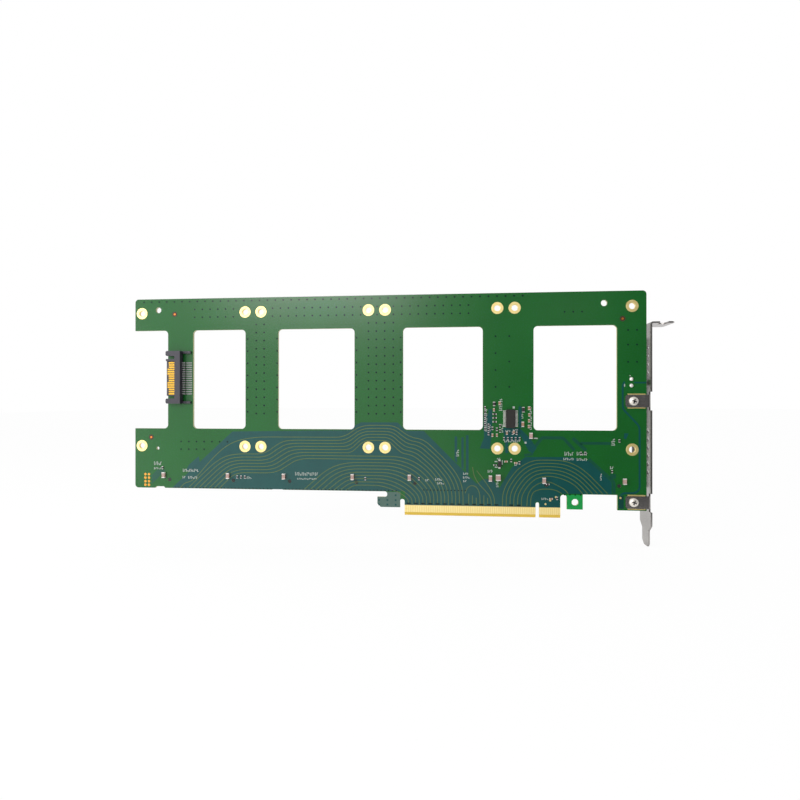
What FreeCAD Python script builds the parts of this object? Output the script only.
# Carrier card for four 2.5-inch drives, standing on its edge connector.
# Millimetres.  X runs along the card towards the end bracket, Z is up, the solder side faces -Y and
# the drives bolt to the component side, which faces +Y.  The origin is the middle of the key notch,
# on the bottom edge of the contact fingers, half-way through the board.
import FreeCAD, Part
import math, os
from FreeCAD import Vector

os.makedirs("parts", exist_ok=True)

# ---------------------------------------------------------------- driving dimensions
board_thickness = 1.57
copper_thickness = 0.06            # plated lands and contacts stand this proud of the laminate
board_end_margin = 4.09            # board beyond the outermost drive hole, at the left end
board_right = 57.0
board_top, board_bottom = 122.0, 12.9
board_corner_radius = 2.0

bay_count = 4
bay_pitch = 71.05                  # one 2.5-inch drive and its clearance
last_bay_x = 18.8                  # the bay beside the end bracket
drive_hole_span_x = 61.72          # bottom-mount pattern of a 2.5-inch drive
drive_hole_span_z = 76.6
drive_hole_centre_z = 75.5
drive_hole_radius = 1.75           # clearance for an M3 screw
drive_land_radius = 3.25
land_setback = 0.05                # a land stops this far short of the hole's edge

window_bottom, window_top = 47.25, 103.75
window_corner_radius = 2.3
wide_window_width = 43.8
wide_window_offset = 1.1           # the windows sit slightly towards the bracket in each bay
short_window_width, short_window_offset = 31.1, 15.6     # in the first bay, beside the power plug
end_notch_setback = 15.05          # wall of the notch at the left end, from the middle of the first bay

key_notch_width = 1.9
key_notch_top = 8.2
contact_pitch = 1.0
contact_width = 0.7
contact_first_x = 1.5              # contacts 11 and 12 sit this far each side of the key
short_contacts, long_contacts = 11, 71
contact_margin = 0.65              # tongue beyond the middle of its last contact
contact_bottom, contact_top = 1.7, 5.3
presence_contact_shortfall = 1.0   # the card-present contacts mate last
bevel_height = 1.6
bevel_angle = 20.0

latch_slot_width, latch_slot_top = 2.55, 8.8     # between the tongue and the hook
hook_length, hook_neck_length = 12.7, 7.2        # the socket's latch catches behind the neck
hook_bottom, hook_top = 4.2, 9.8
hook_chamfer = 1.9
guide_slot_width = 3.41            # between the tongue and the small tab
small_tab_width, small_tab_bottom = 8.39, 4.75
small_tab_hole_inset, small_tab_hole_drop = 4.34, 4.3   # from its left side and the board's bottom edge
small_tab_hole_radius = 1.75
foot_bottom, foot_margin = 4.7, 4.0
edge_nick_depth, edge_nick_width = 0.9, 6.2
edge_nick_inset, edge_nick_spacing = 12.1, 69.6  # two shallow nicks left by the panel's break-off tabs

tooling_hole_inset, tooling_hole_drop = 14.1, 6.4
tooling_hole_right = 35.1
tooling_hole_radius = 1.6
small_tooling_hole_inset, small_tooling_hole_z = 13.7, 35.8
small_tooling_hole_radius = 0.9

peg_hole_radius = 1.0
peg_clearance, peg_setback = 0.1, 0.1    # a peg stops just inside the solder face
peg_spacing = 38.1
peg_z = 17.75
receptacle_offset = 5.0            # receptacle centre, from the bay centre

sheet = 0.86                       # steel of the end bracket
bracket_inner_x = 58.3
bracket_near_y, bracket_width = -3.3, 18.42
bracket_top, bracket_shoulder, bracket_tip = 105.1, -3.0, -14.9
bracket_tongue_width = 10.19
bracket_tongue_setback = 4.12
shoulder_slope = 3.2
bracket_top_tab_length = 11.43
bracket_notch_width, bracket_notch_depth, bracket_notch_offset = 4.42, 6.2, 6.14
tongue_near_cut, tongue_far_cut, tongue_far_cut_rise = 1.6, 3.0, 2.2     # the lower end tapers to its tip
bracket_bend = 0.5                 # inner radius of every fold
bracket_flange_reach = 4.4         # return flange along the far edge
bracket_flange_bottom, bracket_flange_top = 15.0, 98.0
tab_reach = 12.3                   # the mounting tabs, from the inner face of the plate
tab_height = 6.7
lower_tab_z, upper_tab_z = 9.15, 63.1
tab_clip = 0.9                     # the free corners of a tab are clipped
tab_relief = 1.6                   # the near edge is cut back this far above and below a tab
tab_screw_inset = 4.1
screw_radius, screw_head_radius, screw_head_height = 1.25, 2.35, 1.7
screw_clearance = 0.2
nut_across_flats, nut_height = 5.0, 2.0
vent_across_flats, vent_pitch = 2.9, 4.4
vent_columns, lower_vent_rows, upper_vent_rows = 3, 6, 4
lower_vents_z, upper_vents_z = 36.1, 85.0

lamp_inset, lamp_z, leg_spacing, leg_radius = 7.8, 73.1, 3.46, 0.3
leg_clearance = 0.15
small_flats = 8                    # pins, pegs and small drilled holes are drawn with this many flats

solder = -board_thickness / 2      # the face towards -Y
component = board_thickness / 2    # the face towards +Y
bay_x = [last_bay_x - bay_pitch * (bay_count - 1 - i) for i in range(bay_count)]
board_left = bay_x[0] - drive_hole_span_x / 2 - board_end_margin
end_notch_wall = bay_x[0] - end_notch_setback
drive_holes = [(x + sx * drive_hole_span_x / 2, drive_hole_centre_z + sz * drive_hole_span_z / 2)
               for x in bay_x for sx in (-1, 1) for sz in (-1, 1)]
receptacle_x = [x + receptacle_offset for x in bay_x]
peg_x = [x + s * peg_spacing / 2 for x in receptacle_x for s in (-1, 1)]
half_key = key_notch_width / 2
tongue_right = contact_first_x + (short_contacts - 1) * contact_pitch + contact_margin
tongue_left = -contact_first_x - (long_contacts - 1) * contact_pitch - contact_margin
hook_right = tongue_left - latch_slot_width
hook_left, hook_neck = hook_right - hook_length, hook_right - hook_neck_length
small_tab_left = tongue_right + guide_slot_width
small_tab_right = small_tab_left + small_tab_width
small_tab_hole = (small_tab_left + small_tab_hole_inset, board_bottom - small_tab_hole_drop)
tab_tip = bracket_inner_x - tab_reach
foot_left = tab_tip - foot_margin
tab_screw_x = tab_tip + tab_screw_inset
tab_middles = (lower_tab_z, upper_tab_z)
lamp_x = board_right - lamp_inset
lamp_legs = [(lamp_x, lamp_z + s * leg_spacing / 2) for s in (-1, 1)]
screw_hole_radius = screw_radius + screw_clearance


# ---------------------------------------------------------------- shape helpers
def box(x0, x1, y0, y1, z0, z1):
    return Part.makeBox(x1 - x0, y1 - y0, z1 - z0, Vector(x0, y0, z0))


def rod(x, z, radius, y0, y1):
    """Cylinder along Y."""
    return Part.makeCylinder(radius, y1 - y0, Vector(x, y0, z), Vector(0, 1, 0))


def flats(x, z, across, y0, y1, count):
    """Prism along Y with this many flats, so far across them."""
    reach = across / 2 / math.cos(math.pi / count)
    turns = [2 * math.pi * (k + 0.5) / count for k in range(count)]
    points = [Vector(x + reach * math.cos(t), y0, z + reach * math.sin(t)) for t in turns]
    return Part.Face(Part.makePolygon(points + points[:1])).extrude(Vector(0, y1 - y0, 0))


def outline(corners, lift):
    """Closed wire through (a, b, radius) corners; lift turns the two plane values into a point."""
    points = [lift(a, b) for a, b, _ in corners]
    edges, last, first = [], None, None
    for i, (_, _, radius) in enumerate(corners):
        here, before, after = points[i], points[i - 1], points[(i + 1) % len(points)]
        start = end = here
        arc = None
        if radius > 0:
            into, out = (before - here).normalize(), (after - here).normalize()
            half = into.getAngle(out) / 2
            start, end = here + into * (radius / math.tan(half)), here + out * (radius / math.tan(half))
            centre = here + (into + out).normalize() * (radius / math.sin(half))
            arc = Part.Arc(start, centre + (here - centre).normalize() * radius, end).toShape()
        if last is not None and (start - last).Length > 1e-6:
            edges.append(Part.LineSegment(last, start).toShape())
        if first is None:
            first = start
        if arc is not None:
            edges.append(arc)
        last = end
    if (first - last).Length > 1e-6:
        edges.append(Part.LineSegment(last, first).toShape())
    return Part.Wire(edges)


def plate_xz(corners, y0, y1):
    return Part.Face(outline(corners, lambda a, b: Vector(a, y0, b))).extrude(Vector(0, y1 - y0, 0))


def plate_xy(corners, z0, z1):
    return Part.Face(outline(corners, lambda a, b: Vector(a, b, z0))).extrude(Vector(0, 0, z1 - z0))


def plate_yz(corners, x0, x1):
    return Part.Face(outline(corners, lambda a, b: Vector(x0, a, b))).extrude(Vector(x1 - x0, 0, 0))


def sharp(points):
    return [(a, b, 0) for a, b in points]


def save(name, solids):
    shape = solids[0] if len(solids) == 1 else Part.makeCompound(solids)
    shape.exportStep("parts/" + name + ".step")


# ---------------------------------------------------------------- circuit board
# One piece of glass laminate.  The contact tongue, the hook for the socket latch, the small drilled
# tab and the foot under the bracket all hang from its bottom edge.
through = board_thickness          # cutters reach this far from the middle of the board


def window(middle, width):
    left, right, radius = middle - width / 2, middle + width / 2, window_corner_radius
    return plate_xz([(left, window_bottom, radius), (right, window_bottom, radius),
                     (right, window_top, radius), (left, window_top, radius)], -through, through)


nicks = []
for index in (1, 0):
    left = board_left + edge_nick_inset + index * edge_nick_spacing
    right, roof = left + edge_nick_width, board_bottom + edge_nick_depth
    nicks += sharp([(right, board_bottom), (right - edge_nick_depth, roof), (left + edge_nick_depth, roof),
                    (left, board_bottom)])
guide_top = board_bottom - 0.3
board_corners = [
    (board_left, board_top, board_corner_radius), (board_right, board_top, board_corner_radius),
    (board_right, foot_bottom, 0), (foot_left, foot_bottom, 0), (foot_left, board_bottom, 0),
    (small_tab_right, board_bottom, 0), (small_tab_right, small_tab_bottom, 0),
    (small_tab_left, small_tab_bottom, 0), (small_tab_left, guide_top, 1.6),
    (tongue_right, guide_top, 1.6), (tongue_right, 0, 0),
    (half_key, 0, 0), (half_key, key_notch_top, 0.9),
    (-half_key, key_notch_top, 0.9), (-half_key, 0, 0), (tongue_left, 0, 0),
    (tongue_left, latch_slot_top, 1.2),
    (hook_right, latch_slot_top, 1.2), (hook_right, hook_bottom, 0),
    (hook_left + hook_chamfer, hook_bottom, 0), (hook_left, hook_bottom + hook_chamfer, 0),
    (hook_left, hook_top, 0), (hook_neck, hook_top, 1.3), (hook_neck, board_bottom, 1.3)]
board_corners += nicks
board_corners += [
    (board_left, board_bottom, board_corner_radius), (board_left, window_bottom, 0),
    (end_notch_wall, window_bottom, window_corner_radius), (end_notch_wall, window_top, window_corner_radius),
    (board_left, window_top, 0)]
board = plate_xz(board_corners, solder, component)

cutters = [window(bay_x[0] + short_window_offset, short_window_width)]
cutters += [window(x + wide_window_offset, wide_window_width) for x in bay_x[1:]]
cutters += [rod(x, z, drive_hole_radius, -through, through) for x, z in drive_holes]
small_holes = [(board_left + tooling_hole_inset, board_top - tooling_hole_drop, tooling_hole_radius),
               (tooling_hole_right, board_top - tooling_hole_drop, tooling_hole_radius),
               (board_left + small_tooling_hole_inset, small_tooling_hole_z, small_tooling_hole_radius),
               (small_tab_hole[0], small_tab_hole[1], small_tab_hole_radius)]
small_holes += [(x, peg_z, peg_hole_radius) for x in peg_x]
small_holes += [(tab_screw_x, z, screw_hole_radius) for z in tab_middles]
small_holes += [(x, z, leg_radius + leg_clearance) for x, z in lamp_legs]
cutters += [flats(x, z, 2 * radius, -through, through, small_flats) for x, z, radius in small_holes]
bevel_depth = bevel_height * math.tan(math.radians(bevel_angle))
for side in (-1, 1):
    face = side * board_thickness / 2
    cutters.append(plate_yz(sharp([(face, bevel_height), (face - side * bevel_depth, 0),
                                   (face - side * bevel_depth, -1), (face + side, -1),
                                   (face + side, bevel_height)]), tongue_left - 1, tongue_right + 1))
board = board.cut(cutters)
save("circuit_board", [board])

# ---------------------------------------------------------------- edge contacts
# Gold-plated contacts at 1 mm pitch on both faces of the tongue, eleven of them on the bracket side of
# the key.  The card-present contacts are the shorter ones.
contact_x = [contact_first_x + (short_contacts - 1 - i) * contact_pitch for i in range(short_contacts)]
contact_x += [-contact_first_x - i * contact_pitch for i in range(long_contacts)]
presence_numbers = {"solder": (1,), "component": (17, 31, 48, len(contact_x) - 1)}


def contact_row(y0, y1, presence):
    row = []
    for number, x in enumerate(contact_x, 1):
        low = contact_bottom + (presence_contact_shortfall if number in presence else 0)
        row.append(box(x - contact_width / 2, x + contact_width / 2, y0, y1, low, contact_top))
    return row


save("edge_contacts_solder_side", contact_row(solder - copper_thickness, solder, presence_numbers["solder"]))
save("edge_contacts_component_side",
     contact_row(component, component + copper_thickness, presence_numbers["component"]))

# ---------------------------------------------------------------- plated drive holes
# Each drive screw enters from the solder side, where its head bears on a round gold land.
land_flats = 8
lands = [flats(x, z, 2 * drive_land_radius, solder - copper_thickness, solder, land_flats).cut(
    flats(x, z, 2 * (drive_hole_radius + land_setback), solder - 1, solder + 1, land_flats))
    for x, z in drive_holes]
save("drive_hole_plating", lands)

# ---------------------------------------------------------------- end bracket
# Folded steel sheet: vented plate with tongue, top tab with its screw notch, two mounting tabs that lie
# on the solder side, and a return flange along the far edge.
inner, outer = bracket_inner_x, bracket_inner_x + sheet
near, far = bracket_near_y, bracket_near_y + bracket_width
tongue_near = near + bracket_tongue_setback
tongue_far = tongue_near + bracket_tongue_width
fold = bracket_bend + sheet        # outer radius of a fold
tab_back = solder - copper_thickness
tab_front = tab_back - sheet


def relief(z):
    """The near edge steps back behind the fold of a mounting tab."""
    half = tab_height / 2 + tab_relief
    back = tab_front + fold
    return sharp([(near, z - half), (back, z - half), (back, z + half), (near, z + half)])


plate_corners = relief(lower_tab_z) + relief(upper_tab_z) + [
    (near, bracket_top - fold, 0), (far, bracket_top - fold, 0), (far, bracket_shoulder, 0),
    (tongue_far, bracket_shoulder - shoulder_slope, 0), (tongue_far, bracket_tip + tongue_far_cut_rise, 0),
    (tongue_far - tongue_far_cut, bracket_tip, 0), (tongue_near + tongue_near_cut, bracket_tip, 0),
    (tongue_near, bracket_tip + tongue_near_cut, 0),
    (tongue_near, bracket_shoulder - shoulder_slope, 0), (near, bracket_shoulder, 0)]
bracket_plate = plate_yz(plate_corners, inner, outer)

folds = []
for z in tab_middles:
    root = tab_front + fold + 0.5
    low, high = z - tab_height / 2, z + tab_height / 2
    tab = plate_xy([(tab_tip, tab_front, 0), (outer, tab_front, fold), (outer, root, 0), (inner, root, 0),
                    (inner, tab_back, bracket_bend), (tab_tip, tab_back, 0)], low, high)
    corners = sharp([(tab_tip, low + tab_clip), (tab_tip + tab_clip, low), (outer, low), (outer, high),
                     (tab_tip + tab_clip, high), (tab_tip, high - tab_clip)])
    clipped = plate_xz(corners, tab_front, root)
    folds.append(tab.common(clipped).cut(flats(tab_screw_x, z, 2 * screw_hole_radius, near, far, small_flats)))

tab_end = outer + bracket_top_tab_length
root = bracket_top - fold - 0.5
top_tab = plate_xz([(inner, root, 0), (outer, root, 0), (outer, bracket_top - sheet, bracket_bend),
                    (tab_end, bracket_top - sheet, 0), (tab_end, bracket_top, 0), (inner, bracket_top, fold)],
                   near, far)
notch_x, notch_half = outer + bracket_notch_offset, bracket_notch_width / 2
notch = plate_xy([(notch_x - notch_half, near - 1, 0), (notch_x + notch_half, near - 1, 0),
                  (notch_x + notch_half, near + bracket_notch_depth, notch_half - 0.01),
                  (notch_x - notch_half, near + bracket_notch_depth, notch_half - 0.01)],
                 root, bracket_top + 1)
corners = sharp([(inner, near), (tab_end - tab_clip, near), (tab_end, near + tab_clip),
                 (tab_end, far - tab_clip), (tab_end - tab_clip, far), (inner, far)])
folds.append(top_tab.cut(notch).common(plate_xy(corners, root, bracket_top)))

flange_edge = inner - bracket_flange_reach
folds.append(plate_xy([(flange_edge, far - sheet, 0), (inner, far - sheet, bracket_bend),
                       (inner, far - fold - 0.5, 0), (outer, far - fold - 0.5, 0), (outer, far, fold),
                       (flange_edge, far, 0)], bracket_flange_bottom, bracket_flange_top))
corner_clear = box(inner - 1, outer + 1, far - fold, far + 1, bracket_flange_bottom, bracket_flange_top)
bracket = bracket_plate.cut(corner_clear).fuse(folds)

vents = []
for middle, rows in ((lower_vents_z, lower_vent_rows), (upper_vents_z, upper_vent_rows)):
    for row in range(rows):
        for column in range(vent_columns):
            y = (near + far) / 2 + (column - (vent_columns - 1) / 2) * vent_pitch
            z = middle + (row - (rows - 1) / 2 + (column % 2) / 2) * vent_pitch
            reach = vent_across_flats / math.sqrt(3)
            hexagon = [(y + reach * math.cos(math.radians(60 * k)), z + reach * math.sin(math.radians(60 * k)))
                       for k in range(6)]
            vents.append(plate_yz(sharp(hexagon), inner - 1, outer + 1))
bracket = bracket.cut(vents).removeSplitter()
save("end_bracket", [bracket])

# Gold lands under the two mounting tabs, a little taller than the tabs.
land_overlap, land_inset = 0.6, 1.2
tab_lands = [box(tab_tip + land_inset, board_right - land_overlap, solder - copper_thickness, solder,
                 z - tab_height / 2 - land_overlap, z + tab_height / 2 + land_overlap).cut(
    flats(tab_screw_x, z, 2 * screw_hole_radius, near, far, small_flats)) for z in tab_middles]
save("bracket_tab_lands", tab_lands)

# Pan-head screws through tab and board, each with a nut on the component side.
screws, nuts = [], []
head_flats = 12
head_top = tab_front - screw_head_height
nut_outer = component + nut_height
recess_reach, recess_width, recess_depth = 1.2, 0.56, 0.9


def tapered(x, z, rings, count):
    """Solid with this many flat sides through (radius, y) rings."""
    turns = [2 * math.pi * (k + 0.5) / count for k in range(count)]
    loops = [[Vector(x + radius * math.cos(t), y, z + radius * math.sin(t)) for t in turns]
             for radius, y in rings]
    walls = [loops[0], loops[-1]]
    for low, high in zip(loops, loops[1:]):
        walls += [[low[k - 1], low[k], high[k], high[k - 1]] for k in range(count)]
    faces = [Part.Face(Part.makePolygon(wall + wall[:1])) for wall in walls]
    return Part.makeSolid(Part.makeShell(faces))


for z in tab_middles:
    screw = tapered(tab_screw_x, z, [(screw_head_radius * 0.55, head_top),
                                     (screw_head_radius * 0.9, tab_front - screw_head_height * 0.65),
                                     (screw_head_radius, tab_front)], head_flats)
    screw = screw.fuse(flats(tab_screw_x, z, 2 * screw_radius, tab_front, nut_outer + 0.5, small_flats))
    for wide, tall in ((recess_reach, recess_width / 2), (recess_width / 2, recess_reach)):
        screw = screw.cut(box(tab_screw_x - wide, tab_screw_x + wide, head_top - 1, head_top + recess_depth,
                              z - tall, z + tall))
    screws.append(screw.removeSplitter())
    nuts.append(flats(tab_screw_x, z, nut_across_flats, component, nut_outer, 6).cut(
        flats(tab_screw_x, z, 2 * screw_radius, component - 1, nut_outer + 1, small_flats)))
save("bracket_screws", screws)
save("bracket_nuts", nuts)

# ---------------------------------------------------------------- auxiliary power plug
# Right-angle fifteen-way power plug on the narrow column at the left end, mouth towards -X.  Its tongue
# carries the contacts on the side away from the board, between two guide arms.
plug_low_z, plug_high_z = 61.6, 91.7
plug_height = 4.0                  # housing above the solder face
plug_setback = 0.5                 # mouth behind the wall of the notch
plug_arm_length, plug_bar_width = 5.3, 3.2
plug_arm_width = 2.9
plug_wing_width, plug_wing_length, plug_wing_height = 1.4, 5.0, 1.2
plug_tongue_width, plug_tongue_top, plug_tongue_thickness = 21.0, 2.5, 1.25
plug_tongue_offset, power_row_offset = -0.05, -0.55   # from the middle of the housing
plug_key_width, plug_key_height = 1.2, 1.1
power_contacts, power_pitch, power_contact_width = 15, 1.27, 0.84
power_contact_height, power_contact_setback = 0.15, 0.5
earth_contact_lead = 0.8           # the earth contacts reach this much nearer the mouth
earth_contacts = (3, 4, 5, 9, 10, 11)
tail_width, tail_thickness, tail_level = 0.62, 0.25, 1.5
tail_drop, tail_reach = 1.8, 5.5   # from the back of the housing

plug_front_x = end_notch_wall + plug_setback
plug_bar_x = plug_front_x + plug_arm_length
plug_back_x = plug_bar_x + plug_bar_width
plug_top = solder - plug_height
plug_middle_z = (plug_low_z + plug_high_z) / 2
power_middle_z = plug_middle_z + power_row_offset
housing = [box(plug_bar_x, plug_back_x, plug_top, solder, plug_low_z, plug_high_z)]
for low in (plug_low_z, plug_high_z - plug_arm_width):
    high = low + plug_arm_width
    housing.append(plate_xz([(plug_front_x, low, 0.9), (plug_bar_x, low, 0), (plug_bar_x, high, 0),
                             (plug_front_x, high, 0.9)], plug_top, solder))
for low in (plug_low_z, plug_high_z - plug_wing_width):
    housing.append(box(plug_back_x, plug_back_x + plug_wing_length, solder - plug_wing_height, solder,
                       low, low + plug_wing_width))
tongue_face = solder - plug_tongue_top
tongue_back = tongue_face + plug_tongue_thickness
tongue_low = plug_middle_z + plug_tongue_offset - plug_tongue_width / 2
tongue_high = tongue_low + plug_tongue_width
housing.append(box(plug_front_x, plug_bar_x, tongue_face, tongue_back, tongue_low, tongue_high))
housing.append(box(plug_front_x, plug_bar_x, tongue_face - plug_key_height, tongue_back,
                   tongue_high - plug_key_width, tongue_high))
contacts, tails = [], []
level = solder - tail_level
drop_x, foot_x = plug_back_x + tail_drop, plug_back_x + tail_reach
for i in range(power_contacts):
    z = power_middle_z + (i - (power_contacts - 1) / 2) * power_pitch
    reach = plug_front_x + power_contact_setback + (0 if i in earth_contacts else earth_contact_lead)
    contacts.append(box(reach, plug_bar_x, tongue_face - power_contact_height, tongue_face,
                        z - power_contact_width / 2, z + power_contact_width / 2))
    bent = [(plug_back_x, level), (drop_x, level), (drop_x + tail_thickness, solder - tail_thickness),
            (foot_x, solder - tail_thickness), (foot_x, solder), (drop_x, solder),
            (drop_x - tail_thickness, level + tail_thickness), (plug_back_x, level + tail_thickness)]
    tails.append(plate_xy(sharp(bent), z - tail_width / 2, z + tail_width / 2))
save("power_plug_housing", [housing[0].fuse(housing[1:]).removeSplitter()])
save("power_plug_contacts", contacts)
save("power_plug_tails", tails)

# ---------------------------------------------------------------- drive receptacles
# Four right-angle receptacles stand along the bottom edge of the component side, mouths up, each set
# over its own bay.  Two pegs locate every housing in the board.
body_width, body_height, body_low_z = 45.6, 8.4, 14.0
drive_hole_setback = 14.0          # lowest drive screw, from the connector end of a seated drive
seat_gap = 0.3
nose_width, nose_thickness, nose_length = 33.4, 4.9, 5.4
nose_middle_height = 4.8           # above the component face
slot_side_wall, slot_thickness, slot_depth = 1.0, 1.5, 8.4
key_slot_width, key_slot_rise = 1.3, 1.0
post_width, post_thickness, post_length, post_taper, post_tip = 2.6, 4.2, 7.6, 1.6, 0.5
post_gap = 1.6                     # between the nose and a guide post
row_contacts, blade_width, blade_thickness, blade_end_margin = 9, 0.9, 0.22, 1.2
foot_length, foot_thickness = 0.7, 0.25
waist_depth, waist_rise, waist_inset = 2.2, 3.2, 6.0

body_top_z = drive_hole_centre_z - drive_hole_span_z / 2 - drive_hole_setback - seat_gap
mouth_top = body_top_z + nose_length
slot_width = nose_width - 2 * slot_side_wall
blade_span = slot_width - key_slot_width - 2 * blade_end_margin
middle = component + nose_middle_height
for number, x in enumerate(receptacle_x, 1):
    body = [box(x - body_width / 2, x + body_width / 2, component, component + body_height,
                body_low_z, body_top_z),
            box(x - nose_width / 2, x + nose_width / 2, middle - nose_thickness / 2,
                middle + nose_thickness / 2, body_top_z, mouth_top)]
    for side in (-1, 1):
        centre = x + side * (nose_width / 2 + post_gap + post_width / 2)
        half, tip = post_width / 2, body_top_z + post_length
        body.append(plate_xz(sharp([
            (centre - half, body_top_z), (centre + half, body_top_z), (centre + half, tip - post_taper),
            (centre + post_tip, tip), (centre - post_tip, tip), (centre - half, tip - post_taper)]),
            middle - post_thickness / 2, middle + post_thickness / 2))
    for peg in (x - peg_spacing / 2, x + peg_spacing / 2):
        body.append(flats(peg, peg_z, 2 * (peg_hole_radius - peg_clearance), solder + peg_setback, component,
                          small_flats))
    slot = box(x - slot_width / 2, x + slot_width / 2, middle - slot_thickness / 2,
               middle + slot_thickness / 2, mouth_top - slot_depth, mouth_top + 1)
    key_slot = box(x + slot_width / 2 - key_slot_width, x + slot_width / 2, middle - slot_thickness / 2,
                   middle + slot_thickness / 2 + key_slot_rise, mouth_top - slot_depth, mouth_top + 1)
    waist = box(x - body_width / 2 + waist_inset, x + body_width / 2 - waist_inset,
                component + body_height - waist_depth, component + body_height + 1, body_low_z - 1,
                body_low_z + waist_rise)
    blades, feet = [], []
    for i in range(row_contacts):
        u = x - slot_width / 2 + blade_end_margin + i * blade_span / (row_contacts - 1)
        for side in (-1, 1):
            wall = middle + side * slot_thickness / 2
            low, high = sorted((wall, wall - side * blade_thickness))
            blades.append(box(u - blade_width / 2, u + blade_width / 2, low, high,
                              mouth_top - slot_depth, mouth_top - 0.9))
        feet.append(box(u - blade_width / 2, u + blade_width / 2, component, component + foot_thickness,
                        body_low_z - foot_length, body_low_z))
    save("drive_receptacle_%d_housing" % number,
         [body[0].fuse(body[1:]).cut([slot, key_slot, waist]).removeSplitter()])
    save("drive_receptacle_%d_blades" % number, blades)
    save("drive_receptacle_%d_feet" % number, feet)

# ---------------------------------------------------------------- clock buffer
# Twenty-eight-lead gull-wing package beside the last window.
chip_x, chip_z = -14.35, 53.5
chip_width, chip_length, chip_height, chip_standoff, chip_draft = 5.0, 10.0, 1.6, 0.15, 0.15
lead_count, lead_pitch, lead_width, lead_thickness, lead_span, lead_foot = 14, 0.65, 0.3, 0.18, 7.9, 0.9
pin_one_side_inset, pin_one_end_inset, pin_one_width, pin_one_depth = 0.9, 1.0, 0.9, 0.1

lead_line = solder - chip_standoff - chip_height * 0.45
half = chip_width / 2
section = [(chip_x + side * inset, y) for side, inset, y in (
    (-1, half - chip_draft, solder - chip_standoff), (-1, half, lead_line),
    (-1, half - chip_draft, solder - chip_standoff - chip_height),
    (1, half - chip_draft, solder - chip_standoff - chip_height), (1, half, lead_line),
    (1, half - chip_draft, solder - chip_standoff))]
chip = plate_xy(sharp(section), chip_z - chip_length / 2, chip_z + chip_length / 2)
chip_face = solder - chip_standoff - chip_height
pin_one = flats(chip_x - half + pin_one_side_inset, chip_z + chip_length / 2 - pin_one_end_inset,
                pin_one_width, chip_face - 1, chip_face + pin_one_depth, small_flats)
save("clock_buffer_body", [chip.cut(pin_one)])
leads = []
for side in (-1, 1):
    for i in range(lead_count):
        z = chip_z + (i - (lead_count - 1) / 2) * lead_pitch
        bend = lead_span / 2 - lead_foot
        foot_top = solder - lead_thickness
        shape = [(half, lead_line), (bend, lead_line - lead_thickness / 2), (bend + lead_thickness, foot_top),
                 (lead_span / 2, foot_top), (lead_span / 2, solder), (bend, solder)]
        leads.append(plate_xy(sharp([(chip_x + side * a, b) for a, b in shape]), z - lead_width / 2,
                              z + lead_width / 2))
save("clock_buffer_leads", leads)

# Protection diode of the auxiliary supply, its two lapped terminals above and below the body.
diode_x, diode_z = -20.3, 28.8
diode_width, diode_length, diode_height, diode_standoff = 1.8, 3.2, 1.3, 0.1
diode_reach, diode_lap, diode_terminal_width, diode_terminal_height = 2.5, 0.5, 1.1, 0.3
diode = box(diode_x - diode_width / 2, diode_x + diode_width / 2, solder - diode_standoff - diode_height,
            solder - diode_standoff, diode_z - diode_length / 2, diode_z + diode_length / 2)
diode_ends = []
for side in (-1, 1):
    ends = sorted((diode_z + side * diode_reach, diode_z + side * (diode_length / 2 - diode_lap)))
    diode_ends.append(box(diode_x - diode_terminal_width / 2, diode_x + diode_terminal_width / 2,
                          solder - diode_terminal_height, solder, ends[0], ends[1]))
save("supply_diode_body", [diode.cut(diode_ends)])
save("supply_diode_terminals", diode_ends)

# ---------------------------------------------------------------- chip capacitors and resistors
# Each is (x, z, length, width, height, upright).  A capacitor is a block between two soldered end caps; a
# resistor's ends are too thin to stand apart from its block.
cap_share = 0.15                   # how much of the length each end cap covers
cap_proud = 0.04
beside_pegs = ((-3.3, 20.4), (-3.1, 20.4), (-3.35, 20.5), (-2.15, 20.7), (-3.2, 20.8), (3.0, 20.9),
               (-1.25, 20.1), (2.75, 20.2))
bulk_capacitors = [(peg + dx, z, 3.2, 1.7, 1.5, True) for peg, (dx, z) in zip(peg_x, beside_pegs)]
bulk_capacitors += [(-21.0, 21.4, 3.2, 2.5, 1.8, True), (-3.5, 44.3, 3.2, 1.7, 1.5, True)]
ceramic_capacitors = [(-16.8, 30.2, 1.7, 0.9, 0.8, False), (-11.6, 29.5, 1.7, 0.9, 0.8, False),
                      (-7.8, 50.5, 2.8, 1.3, 1.0, True), (-24.1, 44.5, 1.7, 0.9, 0.8, True),
                      (-16.3, 45.7, 1.7, 0.9, 0.8, True), (-21.7, 44.5, 1.7, 0.9, 0.8, True),
                      (-12.6, 46.2, 1.7, 0.9, 0.8, True), (-23.3, 58.3, 1.7, 0.9, 0.8, True),
                      (-4.4, 59.2, 1.9, 1.2, 0.9, True), (-4.4, 55.6, 1.7, 0.9, 0.8, True),
                      (-4.5, 52.4, 1.7, 0.9, 0.8, True), (-4.6, 49.3, 1.7, 0.9, 0.8, True),
                      (-20.2, 61.9, 2.0, 1.2, 0.9, True), (7.2, 10.3, 1.7, 0.9, 0.8, False)]
chip_resistors = [(-7.5, 58.4, 2.8, 1.3, 0.6, True), (-23.2, 61.5, 2.2, 1.2, 0.6, True),
                  (-22.9, 56.0, 2.0, 0.9, 0.5, False), (-22.9, 53.9, 2.0, 0.9, 0.5, False),
                  (-22.9, 51.8, 2.0, 0.9, 0.5, False), (-24.1, 48.2, 1.7, 0.9, 0.5, True),
                  (-21.7, 47.7, 1.7, 0.9, 0.5, True), (-20.0, 49.6, 1.7, 0.8, 0.5, True),
                  (-20.0, 46.8, 1.7, 0.8, 0.5, True), (-14.0, 30.8, 1.7, 0.8, 0.5, True),
                  (-22.7, 28.2, 1.6, 0.8, 0.5, False), (5.5, 18.1, 1.6, 0.8, 0.5, False)]


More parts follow.
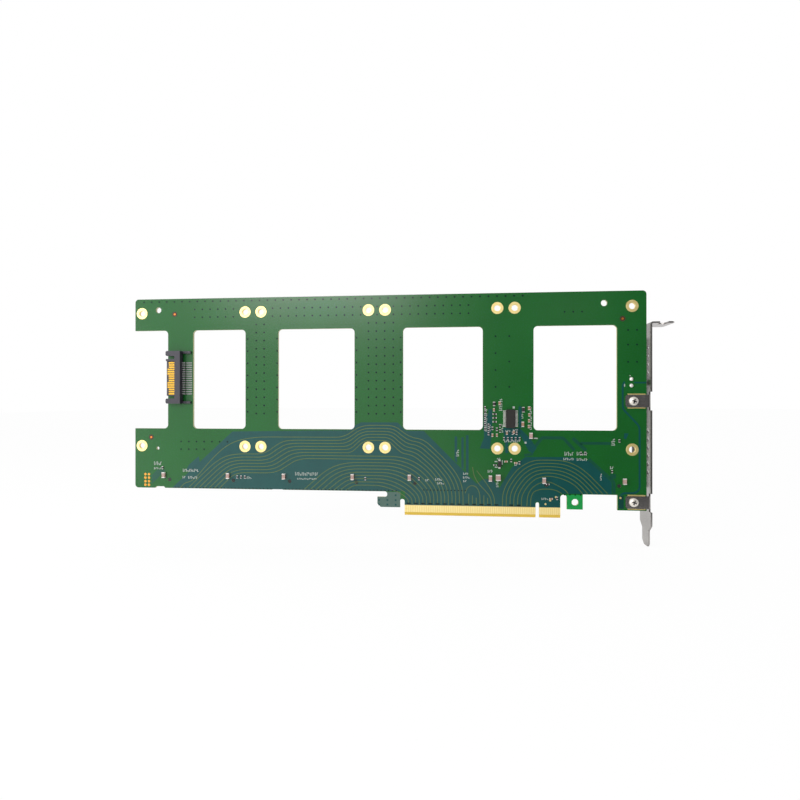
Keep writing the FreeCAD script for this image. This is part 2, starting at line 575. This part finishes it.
def chip_part(x, z, length, width, height, upright):
    """Body, and the two end caps that stand a little proud of it."""
    half_x, half_z = (width / 2, length / 2) if upright else (length / 2, width / 2)
    inset = length * cap_share
    body_x, body_z = (half_x, half_z - inset) if upright else (half_x - inset, half_z)
    block = box(x - body_x, x + body_x, solder - height + cap_proud, solder, z - body_z, z + body_z)
    ends = []
    for side in (-1, 1):
        if upright:
            low, high = sorted((z + side * half_z, z + side * body_z))
            ends.append(box(x - half_x, x + half_x, solder - height, solder, low, high))
        else:
            low, high = sorted((x + side * half_x, x + side * body_x))
            ends.append(box(low, high, solder - height, solder, z - half_z, z + half_z))
    return block, ends


end_caps = []
for name, parts in (("bulk_capacitors", bulk_capacitors), ("ceramic_capacitors", ceramic_capacitors)):
    blocks = []
    for values in parts:
        block, ends = chip_part(*values)
        blocks.append(block)
        end_caps += ends
    save(name, blocks)
save("chip_end_caps", end_caps)
resistor_blocks = []
for x, z, length, width, height, upright in chip_resistors:
    half_x, half_z = (width / 2, length / 2) if upright else (length / 2, width / 2)
    resistor_blocks.append(box(x - half_x, x + half_x, solder - height, solder, z - half_z, z + half_z))
save("chip_resistors", resistor_blocks)

# ---------------------------------------------------------------- lands without a part
# Eight-way programming header lands, three test lands by the key and one in the foot, and the copper
# dots of the three optical targets.
header_inset, header_z, header_pitch_x, header_pitch_z, header_land_radius = 7.25, 17.65, 2.2, 2.04, 0.7
header_rows, land_round = 4, 6     # the small round lands have six flats
test_land_radius, fiducial_radius = 0.5, 0.6
key_test_lands = ((9.8, 11.25), (6.8, 9.35), (4.3, 7.4))
foot_test_land = (foot_left + 1.5, board_bottom - 1.55)
fiducials = ((board_left + 23.9, 113.1), (board_left + 9.7, 42.2), (board_right - 12.3, 107.1))


def small_lands(places, radius):
    return [flats(x, z, 2 * radius, solder - copper_thickness, solder, land_round) for x, z in places]


header_low_z = header_z - (header_rows - 1) / 2 * header_pitch_z
header_x = board_left + header_inset
header_places = [(header_x + side * header_pitch_x / 2, header_low_z + row * header_pitch_z)
                 for side in (-1, 1) for row in range(header_rows)]
save("header_lands", small_lands(header_places, header_land_radius))
save("test_lands", small_lands(key_test_lands + (foot_test_land,), test_land_radius))
save("optical_targets", small_lands(fiducials, fiducial_radius))

# ---------------------------------------------------------------- indicator lamp
# Two-legged lamp on the component side, shining out through the vents of the end bracket.  Its legs
# pass through the board and end in solder cones on the solder side.
lamp_height, lamp_width, lamp_back = 5.0, 6.0, 2.2
lens_radius, lens_length, lens_gap = 1.5, 1.8, 1.1
cone_radius, cone_height, leg_proud = 1.15, 0.9, 0.1
lens_x = inner - lens_gap - lens_length
save("lamp_holder", [box(lamp_x - lamp_back, lens_x, component, component + lamp_height,
                         lamp_z - lamp_width / 2, lamp_z + lamp_width / 2)])
lens = flats(0, 0, 2 * lens_radius, 0, lens_length, small_flats)
lens.rotate(Vector(), Vector(0, 0, 1), -90)
lens.translate(Vector(lens_x, component + lamp_height / 2, lamp_z))
save("lamp_lens", [lens])
save("lamp_legs", [flats(x, z, 2 * leg_radius, solder - cone_height - leg_proud, component, small_flats)
                   for x, z in lamp_legs])
cones = [tapered(x, z, [(cone_radius, solder), (0.5, solder - cone_height)], small_flats).cut(
    flats(x, z, 2 * leg_radius, solder - 2 * cone_height, solder + 1, small_flats)) for x, z in lamp_legs]
save("lamp_solder_joints", cones)
